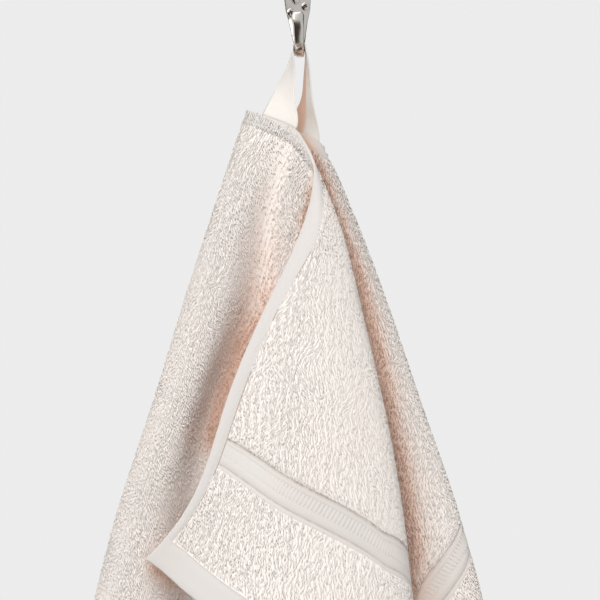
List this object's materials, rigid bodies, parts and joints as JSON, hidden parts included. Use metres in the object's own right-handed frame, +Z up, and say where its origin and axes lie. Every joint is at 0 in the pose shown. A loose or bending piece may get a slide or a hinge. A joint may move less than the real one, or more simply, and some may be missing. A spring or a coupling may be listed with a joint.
{
  "type": "hand towel hanging from a wall hook",
  "caption": "Terry hand towel hung by a sewn tape loop from a small metal wall hook, its cloth falling in uneven folds with one free corner at the front.",
  "frame": {"origin": "middle of the flat back face of the hook's plate, where it meets the wall", "axes": "+Y into the wall, -Y towards the viewer, +X to the viewer's right, +Z up"},
  "size_m": [0.2932, 0.1139, 0.6352],
  "materials": {
    "terry_cotton": "matt looped pile in ivory",
    "woven_tape": "matt flat weave in ivory",
    "polished_nickel": "polished nickel plate"
  },
  "bodies": {
    "root": {"towel": "terry_cotton", "hanging_loop": "woven_tape", "wall_hook": "polished_nickel", "screw_left": "polished_nickel", "screw_right": "polished_nickel"}
  },
  "joints": []
}
